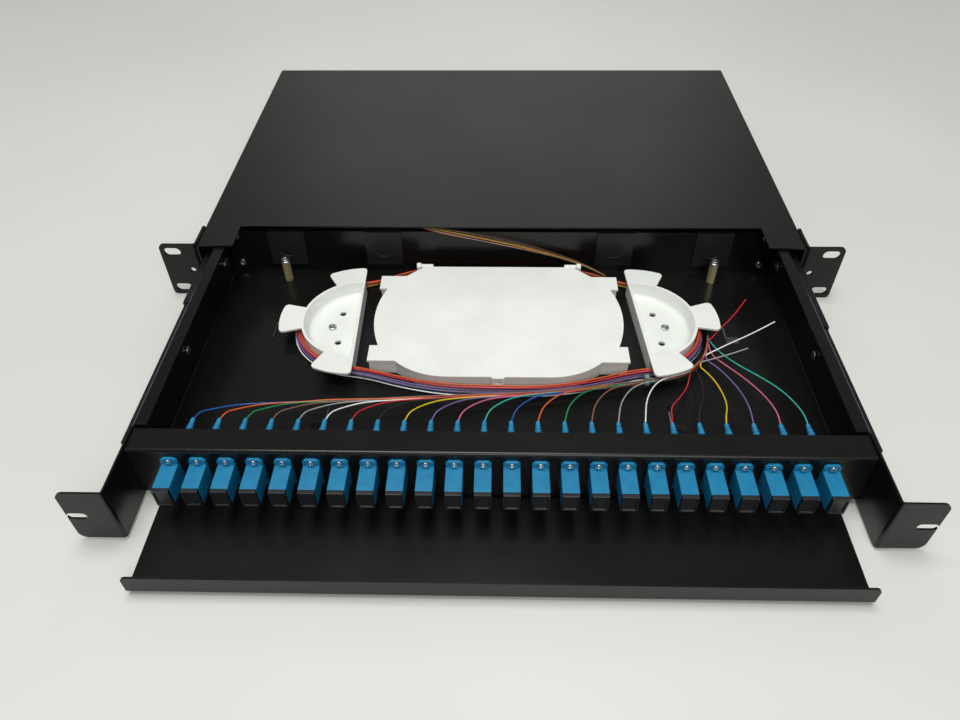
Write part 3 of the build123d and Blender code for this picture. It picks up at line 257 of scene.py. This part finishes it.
BUNDLE_SPREAD = 1.5 * MM
BESIDE = 2.3 * MM
REACH_LEFT = 44.0 * MM
REACH_RIGHT = 33.0 * MM
pigtails = {name: fibre_curve(f"fibre_{name}", PIGTAIL) for name, colour in FIBRE_COLOURS}
for n in range(ADAPTER_COUNT):
    x = first_adapter + n * adapter_pitch
    route = [(x, boot_tip_y - 2 * MM, boot_z), (x + 1.0 * MM, boot_tip_y + 5.25 * MM, boot_z - 0.6 * MM)]
    if n < ADAPTER_COUNT - len(LAST_SIX):
        reach = REACH_LEFT + (REACH_RIGHT - REACH_LEFT) * n / ADAPTER_COUNT
        end = trunk_at(x + reach)
        down = end[2] + BESIDE * 0.7
        front = end[1] - BESIDE * 0.75
        fall = boot_tip_y - front
        route.append((x + 0.14 * reach, front + 0.55 * fall, down + 0.66 * (boot_z - down)))
        route.append((x + 0.45 * reach, front + 0.16 * fall, down + 0.20 * (boot_z - down)))
        route.append((x + reach, front, down))
        route += [lay_off(place, n, BUNDLE_SPREAD) for place in TRUNK_ROUTE if place[0] > x + reach + 8 * MM]
    else:
        route += list(LAST_SIX[n - ADAPTER_COUNT])
        route += [lay_off(place, n, BUNDLE_SPREAD) for place in TRUNK_ROUTE if place[1] > route[-1][1] + 6 * MM]
    name = FIBRE_COLOURS[n % len(FIBRE_COLOURS)][0]
    lay_fibre(pigtails[name], route)
for name, fibre in pigtails.items():
    fibre.data.materials.append(fibre_coats[name])
    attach(fibre, "drawer")
    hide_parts(f"pigtail_{name}", "pigtail_bundle")

# Fibre loop: the slack of the pigtails, wound by hand round both spools and past the splice tray.
# The nylon-coated fibres lie loosely beside and over one another, under the tabs of the spools.
SPOOL_PLACE = (95.5 * MM, -42.5 * MM)
LOOP_WIND = 42.5 * MM
LOOP_Z = 5.5 * MM
LOOP_STRANDS = (  # colour, and how far out from the spools and up it lies, in millimetres
    ("orange", -1.4, 4.6), ("brown", -1.5, 2.2), ("pink", -0.5, 3.7), ("red", -0.9, 0.2), ("red", 0.3, 4.3),
    ("violet", 0.6, 2.4), ("grey", 0.2, 1.2), ("green", -0.2, -1.3), ("violet", 1.4, 1.0), ("blue", 1.5, -0.4),
    ("aqua", 0.9, -1.2), ("white", 2.4, -1.0), ("black", 2.0, 0.4), ("yellow", -1.2, -1.3),
)


def around(side, angle):
    """A corner of a route round a spool, on the tangents of a circle about the spool's middle."""
    reach = LOOP_WIND / math.cos(math.radians(22.5))
    x = side * (SPOOL_PLACE[0] + reach * math.cos(math.radians(angle)))
    return (x, SPOOL_PLACE[1] + reach * math.sin(math.radians(angle)), LOOP_Z)


LOOP_ROUTE = [
    (-0.0060, -0.1036, LOOP_Z), (0.0300, -0.1040, LOOP_Z), (0.0620, -0.0975, LOOP_Z), (0.0880, -0.0886, LOOP_Z),
    around(1, -67.5), around(1, -22.5), around(1, 22.5), around(1, 67.5),
    (0.0870, 0.0065, LOOP_Z), (0.0650, 0.0210, LOOP_Z), (0.0300, 0.0236, LOOP_Z), (-0.0080, 0.0239, LOOP_Z),
    (-0.0420, 0.0232, LOOP_Z), (-0.0660, 0.0200, LOOP_Z), (-0.0890, 0.0060, LOOP_Z),
    around(-1, 67.5), around(-1, 22.5), around(-1, -22.5), around(-1, -67.5),
    (-0.0860, -0.0888, LOOP_Z), (-0.0620, -0.0970, LOOP_Z), (-0.0330, -0.1030, LOOP_Z),
]


def beside_loop(place, n, out, up):
    """Where the nth fibre passes a place on the loop: out from the spools and up, wandering a little."""
    middle = Vector((max(-SPOOL_PLACE[0], min(SPOOL_PLACE[0], place[0])), SPOOL_PLACE[1], place[2]))
    away = (Vector(place) - middle).normalized()
    sway = 0.35 * math.sin(60 * place[0] + 2.1 * n)
    back = place[1] > 0
    spot = Vector(place) + away * (0.3 * out if back else out + sway) * MM
    spot.z += (0.4 * up if back else up + 0.3 * sway) * MM
    return spot


loop = fibre_curve("fibre_loop_strands", PIGTAIL)
for n, (name, out, up) in enumerate(LOOP_STRANDS):
    loop.data.materials.append(fibre_coats[name])
    lay_fibre(loop, [beside_loop(place, n, out, up) for place in LOOP_ROUTE], n, closed=True)
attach(loop, "drawer")
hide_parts("fibre_loop")

# Rear fibres: the ends that leave the loop behind the splice tray and climb out over the drawer's back.
# They are the cable's bare coloured fibres, spread a little where they rise.
REAR_ROUTE = [
    (0.0790, 0.0124, 0.0092), (0.0660, 0.0194, 0.0128), (0.0470, 0.0224, 0.0186), (0.0240, 0.0236, 0.0250),
    (-0.0020, 0.0242, 0.0310), (-0.0250, 0.0246, 0.0358), (-0.0430, 0.0250, 0.0392), (-0.0570, 0.0286, 0.0410),
    (-0.0700, 0.0360, 0.0412),
]
REAR_SPREAD = (0.4, 0.7, 1.4, 2.4, 3.0, 3.0, 2.4, 1.6, 1.0)  # how far they fan out at each place, in millimetres
REAR_COLOURS = ("brown", "yellow", "orange", "brown", "grey", "orange", "brown")
rear = fibre_curve("rear_fibre_strands", 0.35 * MM)
for n, name in enumerate(REAR_COLOURS):
    rear.data.materials.append(fibre_coats[name])
    lay_fibre(rear, [lay_off(place, n, wide * MM) for place, wide in zip(REAR_ROUTE, REAR_SPREAD)], n)
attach(rear, "drawer")
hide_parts("rear_fibres")

# Loose ends: three spare fibres, cut off and standing out of the bundle beside the right spool.
# They are stiff enough to stand clear of the floor for their few centimetres.
LOOSE_ENDS = (  # name of the piece, colour of its coat and route
    ("red", "red", [(0.1416, -0.0584, 0.0095), (0.1506, -0.0486, 0.0126),
                    (0.1610, -0.0396, 0.0156), (0.1717, -0.0249, 0.0182)]),
    ("white", "white", [(0.1364, -0.0729, 0.0102), (0.1510, -0.0666, 0.0142),
                        (0.1690, -0.0578, 0.0158), (0.1860, -0.0479, 0.0180)]),
    ("brown", "grey", [(0.1329, -0.0793, 0.0103), (0.1430, -0.0774, 0.0124),
                       (0.1534, -0.0744, 0.0136), (0.1637, -0.0704, 0.0144)]),
)
for end_name, coat, route in LOOSE_ENDS:
    end = fibre_curve(f"loose_fibre_{end_name}", PIGTAIL)
    lay_fibre(end, route)
    end.data.materials.append(fibre_coats[coat])
    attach(end, "drawer")
    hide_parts(f"loose_end_{end_name}")

# Case: 1.2 mm cold-rolled steel, folded, and powder-coated black after folding.
# The coat is satin with a fine orange peel, rounds every cut edge and greys where light rakes it.
COAT_BLACK = "#0d0d0c"
COAT_GREY = "#131312"
PEEL = 1.1  # spacing of the orange peel in millimetres, about twice the real one so that it shows
COAT_CLOUD = 70.0


def roughen(tree, shader, value, smoothest, roughest):
    """Let a shader's roughness go from one figure to another with a value."""
    gloss = add_node(tree, "ShaderNodeMapRange", {}, {"Value": value, "To Min": smoothest, "To Max": roughest})
    tree.links.new(gloss.outputs["Result"], shader.inputs["Roughness"])


def emboss(tree, shader, value, strength):
    """Give a shader a fine relief from a value."""
    bump = add_node(tree, "ShaderNodeBump", {}, {"Height": value, "Strength": strength, "Distance": 0.1 * MM})
    tree.links.new(bump.outputs["Normal"], shader.inputs["Normal"])


def powder_coat(name, smoothest, roughest, shine):
    """Black powder coat: its roughness drifts between two values, and shine is its specular level."""
    coat, tree, shader = new_material(name, COAT_BLACK, roughest)
    shader.inputs["Specular IOR Level"].default_value = shine
    cloud = pattern(tree, COAT_CLOUD, 3.0)
    tint(tree, shader, cloud, (0.3, COAT_BLACK), (0.75, COAT_GREY))
    roughen(tree, shader, cloud, smoothest, roughest)
    emboss(tree, shader, pattern(tree, PEEL, 2.0), 0.12)
    return coat


black_coat = powder_coat("powder_coat_black", 0.34, 0.46, 0.33)


def rounded_copy(node, name, radius, coat, body):
    """A copy of a piece with its sharp edges rounded, in its own finish, that stands for the piece."""
    bpy.ops.object.select_all(action="DESELECT")
    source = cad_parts[node]
    piece = bpy.data.objects.new(name, source.data.copy())
    bpy.context.collection.objects.link(piece)
    bpy.context.view_layer.objects.active = piece
    piece.select_set(True)
    bpy.ops.object.mode_set(mode="EDIT")
    bpy.ops.mesh.select_mode(type="VERT")
    bpy.ops.mesh.select_all(action="SELECT")
    bpy.ops.mesh.remove_doubles(threshold=0.002 * MM)
    bpy.ops.mesh.dissolve_limited(angle_limit=math.radians(0.5))
    bpy.ops.object.mode_set(mode="OBJECT")
    edge = piece.modifiers.new("edge", "BEVEL")
    edge.width = radius
    edge.segments = 2
    edge.limit_method = "ANGLE"
    edge.angle_limit = math.radians(40)
    edge.use_clamp_overlap = True
    bpy.ops.object.modifier_apply(modifier="edge")
    bpy.ops.object.shade_smooth_by_angle(angle=math.radians(40))
    flats = piece.modifiers.new("flats", "WEIGHTED_NORMAL")
    flats.keep_sharp = True
    flats.weight = 100
    bpy.ops.object.modifier_apply(modifier="flats")
    piece.data.materials.clear()
    piece.data.materials.append(coat)
    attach(piece, body)
    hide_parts(node)
    return piece


SHEET_EDGE = 0.2 * MM
for node in ("case_cover", "case_base", "rack_ear_left", "rack_ear_right"):
    rounded_copy(node, f"{node}_coated", SHEET_EDGE, black_coat, "case")

# Slides: three nested channels a side, rolled from strip steel and blackened after plating.
# The skin is a dull dark metal with fine lines along the way it was rolled.
SLIDE_GREY = "#34363a"


def drawn_lines(tree, sizes, detail):
    """A streaky pattern fixed to the piece, with a size along each axis in millimetres; returns its value."""
    coords = add_node(tree, "ShaderNodeTexCoord")
    scale = [1000 / size for size in sizes]
    stretch = add_node(tree, "ShaderNodeMapping", {}, {"Vector": coords.outputs["Object"], "Scale": scale})
    links = {"Vector": stretch.outputs["Vector"], "Scale": 1.0, "Detail": detail}
    return add_node(tree, "ShaderNodeTexNoise", {}, links).outputs["Fac"]


# Blackened zinc: the rolled lines break a dull shine into streaks along the slide.
slide_steel, tree, shader = new_material("blackened_zinc_plate", SLIDE_GREY, 0.38, 0.85)
roughen(tree, shader, drawn_lines(tree, (0.6, 80.0, 0.6), 3.0), 0.28, 0.5)
for hand in ("left", "right"):
    for member, name, body in (("outer", "case", "case"), ("middle", "middle", f"slide_middle_{hand}"),
                               ("inner", "drawer", "drawer")):
        channel = rounded_copy(f"slide_{member}_{hand}", f"{name}_member_{hand}", SHEET_EDGE, slide_steel, body)

# Drawer: one sheet for floor, sides, ears and front shelf, with a back plate and the adapter panel.
# It has the same black coat as the case, a little glossier inside where no hand has rubbed it.
# The four bridges that are lanced up from its floor for cable ties nearly fill their slots.
LANCES = ((-160.0, -43.0), (160.0, -43.0), (-110.7, -123.0), (110.7, -123.0))
LANCE_LENGTH = 21.0
BRIDGE_HALF = 2.75
BRIDGE_SPREAD = 1.2
drawer_coat = powder_coat("powder_coat_black_drawer", 0.2, 0.3, 0.34)
for node in ("drawer_tray", "drawer_back", "adapter_panel"):
    sheet = rounded_copy(node, f"{node}_coated", SHEET_EDGE, drawer_coat, "drawer")
    for x, y in LANCES if node == "drawer_tray" else ():
        for side in (-1, 1):
            bpy.ops.object.mode_set(mode="EDIT")
            bpy.ops.mesh.select_mode(type="VERT")
            bpy.ops.mesh.select_all(action="DESELECT")
            bpy.ops.object.mode_set(mode="OBJECT")
            for corner in sheet.data.vertices:
                across = side * (corner.co.x / MM - x)
                corner.select = abs(across - BRIDGE_HALF) < 0.5 and abs(corner.co.y / MM - y) < LANCE_LENGTH / 2 + 1
            bpy.ops.object.mode_set(mode="EDIT")
            bpy.ops.transform.translate(value=(side * BRIDGE_SPREAD * MM, 0, 0))
            bpy.ops.object.mode_set(mode="OBJECT")

# Cable entry plates: black ABS plates that slide down into the slots of the drawer's back.
# They are moulded, with a round that is broken out or drilled for a cable gland.
# Moulded black ABS: the fine grain dulls its shine below that of the coat around it.
entry_black, tree, shader = new_material("moulded_abs_black", "#1b1b1c", 0.5)
emboss(tree, shader, pattern(tree, 0.7, 2.0), 0.2)
rounded_copy("cable_entry_plates", "entry_plates", 0.25 * MM, entry_black, "drawer")

# Adapters: blue moulded sleeves with a flange, two halves welded at the flange.
# The plastic is satin and evenly dyed, and its edges are rounded by the mould.
# Moulded blue PBT: small clouds in the dye vary one adapter from the next.
adapter_blue, tree, shader = new_material("moulded_pbt_blue", "#0e78a6", 0.42)
tint(tree, shader, pattern(tree, 6.0, 3.0), (0.25, "#0b719f"), (0.8, "#1283b0"))
rounded_copy("sc_adapters", "adapters", 0.3 * MM, adapter_blue, "drawer")

# Dust caps: smoky black caps with a sunk front, pushed into the mouths of the adapters.
# They are moulded in soft polyethylene and held by friction alone.
# Moulded smoky polyethylene: a shine that comes and goes across each cap.
cap_smoke, tree, shader = new_material("moulded_pe_smoke", "#232427", 0.3)
roughen(tree, shader, pattern(tree, 4.5, 2.0), 0.22, 0.4)
rounded_copy("dust_caps", "caps", 0.3 * MM, cap_smoke, "drawer")

# Connectors: blue housings pushed into the backs of the adapters until they latch.
# They are moulded in the same plastic as the adapters, with rounder edges.
rounded_copy("sc_connectors", "connectors", 0.5 * MM, adapter_blue, "drawer")

# Boots: soft moulded sleeves behind the connectors that keep the fibres from kinking.
# Each tapers to its tip, and its rings let it bend.
# Each ring is how far along the boot it lies and its radius, in millimetres.
BOOT_RINGS = ((0.0, 2.25), (2.0, 2.2), (2.0, 1.75), (2.9, 1.7), (2.9, 2.05), (4.3, 1.95), (4.3, 1.55), (5.2, 1.5),
              (5.2, 1.8), (6.6, 1.7), (6.6, 1.35), (7.5, 1.3), (7.5, 1.55), (9.0, 1.4), (11.1, 1.2), (11.5, 1.0))
BOOT_SIDES = 20
# Moulded blue elastomer: duller and lighter than the hard blue plastic, with a faint grain.
boot_blue, tree, shader = new_material("moulded_tpe_blue", "#1f86b8", 0.5)
emboss(tree, shader, pattern(tree, 0.8, 2.0), 0.2)
tint(tree, shader, pattern(tree, 4.0, 2.0), (0.3, "#1b7cae"), (0.75, "#2a93c4"))

boot_root = Vector((first_adapter, boot_low.y, boot_z))
bpy.ops.object.select_all(action="DESELECT")
bpy.ops.mesh.primitive_circle_add(vertices=BOOT_SIDES, radius=BOOT_RINGS[0][1] * MM, fill_type="NGON",
                                  location=boot_root, rotation=(math.radians(90), 0, 0))
boot = bpy.context.object
boot.name = "connector_boot_sleeves"
bpy.ops.object.transform_apply(location=True, rotation=True, scale=True)
bpy.ops.object.mode_set(mode="EDIT")
bpy.ops.mesh.select_all(action="SELECT")
for (along, wide), (next_along, next_wide) in zip(BOOT_RINGS, BOOT_RINGS[1:]):
    bpy.ops.mesh.extrude_region_move(TRANSFORM_OT_translate={"value": (0, (next_along - along) * MM, 0)})
    share = next_wide / wide
    bpy.ops.transform.resize(value=(share, 1, share), center_override=boot_root + Vector((0, next_along * MM, 0)))
bpy.ops.mesh.select_all(action="SELECT")
bpy.ops.mesh.remove_doubles(threshold=0.001 * MM)
bpy.ops.mesh.normals_make_consistent(inside=False)
bpy.ops.object.mode_set(mode="OBJECT")
row = boot.modifiers.new("row", "ARRAY")
row.count = ADAPTER_COUNT
row.use_relative_offset = False
row.use_constant_offset = True
row.constant_offset_displace = (adapter_pitch, 0, 0)
bpy.ops.object.modifier_apply(modifier="row")
bpy.ops.object.shade_smooth_by_angle(angle=math.radians(40))
boot.data.materials.append(boot_blue)
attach(boot, "drawer")
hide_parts("connector_boots")

# Splice tray and spools: white ABS mouldings with a satin skin and soft edges.
# The spools' dishes and the tray's cover carry faint flow marks from the mould.
# Moulded white ABS: light goes a little way into it, so that its edges are soft and not chalky.
tray_white, tree, shader = new_material("moulded_abs_white", "#ebece8", 0.42)
shader.inputs["Subsurface Weight"].default_value = 0.06
shader.inputs["Subsurface Radius"].default_value = (0.002, 0.002, 0.002)
tint(tree, shader, pattern(tree, 25.0, 4.0), (0.3, "#e6e7e2"), (0.7, "#eff0ec"))
MOULD_EDGE = 0.4 * MM
rounded_copy("splice_tray_base", "tray_dish", MOULD_EDGE, tray_white, "drawer")
rounded_copy("splice_tray_cover", "tray_lid", MOULD_EDGE, tray_white, "tray_cover")
DISH_FLOOR = 5.2 * MM
DISH_WALL = 36.71  # radius of the dish at the top of the cove that its floor runs up into, in millimetres
COVE = 4.0
COVE_SINK = 0.6  # how far the ring that makes the cove is sunk into the floor and wall
COVE_SIDES = 96
CHORD_IN = 2.5 * MM  # from a spool's middle to where the ring ends, inside its straight wall
# Each ring is its radius and its height over the dish's floor, in millimetres.
COVE_RINGS = [(DISH_WALL - COVE * (1 - math.sin(math.radians(angle))), COVE * (1 - math.cos(math.radians(angle))))
              for angle in range(0, 91, 15)]
COVE_RINGS += [(DISH_WALL + COVE_SINK, COVE), (DISH_WALL + COVE_SINK, -COVE_SINK),
               (DISH_WALL - COVE, -COVE_SINK), COVE_RINGS[0]]
for side, hand, heading in ((-1, "left", 181.6), (1, "right", 4.0)):
    spool = rounded_copy(f"fibre_spool_{hand}", f"spool_{hand}", MOULD_EDGE, tray_white, "drawer")
    middle = Vector((side * SPOOL_PLACE[0], SPOOL_PLACE[1], DISH_FLOOR))
    outward = Vector((math.cos(math.radians(heading)), math.sin(math.radians(heading)), 0))
    bpy.ops.object.select_all(action="DESELECT")
    bpy.ops.mesh.primitive_circle_add(vertices=COVE_SIDES, radius=COVE_RINGS[0][0] * MM, location=middle)
    cove = bpy.context.object
    bpy.ops.object.transform_apply(location=True, rotation=True, scale=True)
    bpy.ops.object.mode_set(mode="EDIT")
    bpy.ops.mesh.select_all(action="SELECT")
    for (wide, high), (next_wide, next_high) in zip(COVE_RINGS, COVE_RINGS[1:]):
        bpy.ops.mesh.extrude_region_move(TRANSFORM_OT_translate={"value": (0, 0, (next_high - high) * MM)})
        share = next_wide / wide
        bpy.ops.transform.resize(value=(share, share, 1), center_override=middle + Vector((0, 0, next_high * MM)))
    bpy.ops.mesh.select_all(action="SELECT")
    bpy.ops.mesh.remove_doubles(threshold=0.001 * MM)
    bpy.ops.mesh.normals_make_consistent(inside=False)
    bpy.ops.mesh.bisect(plane_co=middle + outward * CHORD_IN, plane_no=outward, use_fill=True, clear_inner=True)
    bpy.ops.object.mode_set(mode="OBJECT")
    bpy.ops.object.shade_smooth_by_angle(angle=math.radians(40))
    cove.data.materials.append(tray_white)
    spool.select_set(True)
    bpy.context.view_layer.objects.active = spool
    bpy.ops.object.join()
rounded_copy("splice_holder", "splice_comb", 0.2 * MM, tray_white, "drawer")

# Anchor posts: brass posts riveted to the drawer's floor, where a cable's strength member is clamped.
# They are turned from hexagonal bar, and a screw goes into the top of each.
# Turned brass: rings from the tool round each post break its shine, and a dull film greys it.
post_brass, tree, shader = new_material("turned_brass", "#dccf9f", 0.36, 0.6)
roughen(tree, shader, drawn_lines(tree, (3.3, 3.3, 0.25), 2.0), 0.18, 0.38)
rounded_copy("standoffs", "posts", 0.3 * MM, post_brass, "drawer")

# Screws: pan-headed steel screws that hold the case, slides, panel, adapters, spools, tray and posts.
# Their heads are pressed with a cross and rounded, and plated with nickel.
# Nickel plate: a bright metal whose small scuffs scatter the highlight.
nickel, tree, shader = new_material("nickel_plate", "#c9cacc", 0.22, 1.0)
roughen(tree, shader, pattern(tree, 1.1, 3.0), 0.14, 0.36)
SCREWS = (  # node, body, which way its heads face, width of the cross and depth of the cross in millimetres
    ("ear_screws", "case", "X", 3.2, 1.0), ("case_screws", "case", "X", 3.2, 1.0),
    ("slide_case_screws", "case", "X", 3.2, 1.0), ("slide_drawer_screws", "drawer", "-X", 3.2, 1.0),
    ("panel_screws", "drawer", "X", 3.2, 1.0), ("back_screws", "drawer", "-Y", 3.2, 1.0),
    ("adapter_screws", "drawer", "-Y", 2.2, 0.6), ("splice_tray_screws", "drawer", "Z", 3.2, 1.0),
    ("spool_screws", "drawer", "Z", 3.2, 1.0), ("standoff_screws", "drawer", "Z", 3.2, 1.0),
)
CROSS_BLADE = 0.24  # thickness of a cross's arms, as a share of its width
HEAD_ROUND = 0.45  # rounding of a head's edge, as a share of the cross's depth
WAYS = {"X": Vector((1, 0, 0)), "-X": Vector((-1, 0, 0)), "-Y": Vector((0, -1, 0)), "Z": Vector((0, 0, 1))}


def head_tops(node, way):
    """The middle of the top of each screw in a node, and the way that its head faces."""
    bpy.ops.object.select_all(action="DESELECT")
    spare = bpy.data.objects.new("spare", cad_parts[node].data.copy())
    bpy.context.collection.objects.link(spare)
    bpy.context.view_layer.objects.active = spare
    spare.select_set(True)
    bpy.ops.object.mode_set(mode="EDIT")
    bpy.ops.mesh.select_all(action="SELECT")
    bpy.ops.mesh.remove_doubles(threshold=0.002 * MM)
    bpy.ops.mesh.separate(type="LOOSE")
    bpy.ops.object.mode_set(mode="OBJECT")
    tops = []
    for single in list(bpy.context.selected_objects):
        corners = [Vector(corner) for corner in single.bound_box]
        middle = sum(corners, Vector()) / 8
        facing = WAYS[way] * (math.copysign(1, middle.x) if "X" in way else 1)
        top = max((corner - middle).dot(facing) for corner in corners)
        tops.append((middle + facing * top, facing))
    bpy.ops.object.delete()
    return tops


for node, body, way, width, depth in SCREWS:
    screws = rounded_copy(node, f"{node}_plated", HEAD_ROUND * depth * MM, nickel, body)
    crosses = []
    for top, facing in head_tops(node, way):
        spin = facing.to_track_quat("Z", "Y")
        blade = CROSS_BLADE * width
        for size in ((width, blade, 2 * depth), (blade, width, 2 * depth)):
            bpy.ops.mesh.primitive_cube_add(size=1 * MM, location=top, rotation=spin.to_euler(), scale=size)
            crosses.append(bpy.context.object)
    bpy.ops.object.select_all(action="DESELECT")
    for cross in crosses:
        cross.select_set(True)
    bpy.context.view_layer.objects.active = crosses[0]
    bpy.ops.object.join()
    cutter = bpy.context.object
    bpy.ops.object.select_all(action="DESELECT")
    bpy.context.view_layer.objects.active = screws
    screws.select_set(True)
    recess = screws.modifiers.new("recess", "BOOLEAN")
    recess.operation = "DIFFERENCE"
    recess.solver = "EXACT"
    recess.use_self = True
    recess.object = cutter
    bpy.ops.object.modifier_apply(modifier="recess")
    bpy.data.objects.remove(cutter)

# Bundle tie: a moulded nylon band with its head on top, drawn tight round the fibres by hand.
# Moulded clear nylon: part of the light goes through it. Its green-grey base colour is a painted reflection: the
# green cast that light from the fibres gives the band is painted into it.
tie_nylon_painted_cast, tree, shader = new_material("nylon_clear_painted_green_cast", "#9fae9b", 0.3)
shader.inputs["Transmission Weight"].default_value = 0.3
roughen(tree, shader, pattern(tree, 2.0, 2.0), 0.2, 0.45)
TIE_EDGE = 0.15 * MM
rounded_copy("bundle_tie", "fibre_tie", TIE_EDGE, tie_nylon_painted_cast, "drawer")
